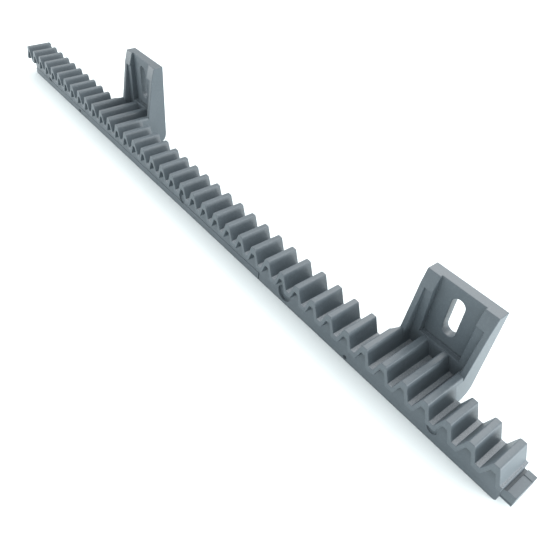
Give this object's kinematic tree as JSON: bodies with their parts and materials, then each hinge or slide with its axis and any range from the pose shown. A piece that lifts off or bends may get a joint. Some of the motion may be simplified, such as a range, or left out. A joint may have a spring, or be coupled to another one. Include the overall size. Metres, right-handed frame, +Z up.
{
  "type": "gear rack",
  "caption": "Straight toothed rack section for a sliding gate, nylon over a steel bar, with slotted wall brackets and a coupling tongue.",
  "frame": {"origin": "centre of the bounding box in plan, on the underside of the rack", "axes": "+X along the rack from its socket end to its tongue end, +Y from the toothed strip to the brackets' rear faces, +Z up towards the tooth tips"},
  "size_m": [0.5086, 0.0392, 0.061],
  "materials": {
    "nylon": "satin, dark grey glass-filled nylon",
    "core_steel": "plain drawn steel bar"
  },
  "bodies": {
    "root": {"tooth_01": "nylon", "tooth_02": "nylon", "tooth_03": "nylon", "tooth_04": "nylon", "tooth_05": "nylon", "tooth_06": "nylon", "tooth_07": "nylon", "tooth_08": "nylon", "tooth_09": "nylon", "tooth_10": "nylon", "tooth_11": "nylon", "tooth_12": "nylon", "tooth_13": "nylon", "tooth_14": "nylon", "tooth_15": "nylon", "tooth_16": "nylon", "tooth_17": "nylon", "tooth_18": "nylon", "tooth_19": "nylon", "tooth_20": "nylon", "tooth_21": "nylon", "tooth_22": "nylon", "tooth_23": "nylon", "tooth_24": "nylon", "tooth_25": "nylon", "tooth_26": "nylon", "tooth_27": "nylon", "tooth_28": "nylon", "tooth_29": "nylon", "tooth_30": "nylon", "tooth_31": "nylon", "tooth_32": "nylon", "tooth_33": "nylon", "tooth_34": "nylon", "tooth_35": "nylon", "tooth_36": "nylon", "tooth_37": "nylon", "tooth_38": "nylon", "tooth_39": "nylon", "tooth_40": "nylon", "root_band": "nylon", "rack_spine": "nylon", "coupling_tongue": "nylon", "steel_core": "core_steel", "far_bracket_plate": "nylon", "far_bracket_foot": "nylon", "far_bracket_floor": "nylon", "far_bracket_left_gusset": "nylon", "far_bracket_right_gusset": "nylon", "near_bracket_plate": "nylon", "near_bracket_foot": "nylon", "near_bracket_floor": "nylon", "near_bracket_left_gusset": "nylon", "near_bracket_right_gusset": "nylon"}
  },
  "joints": []
}
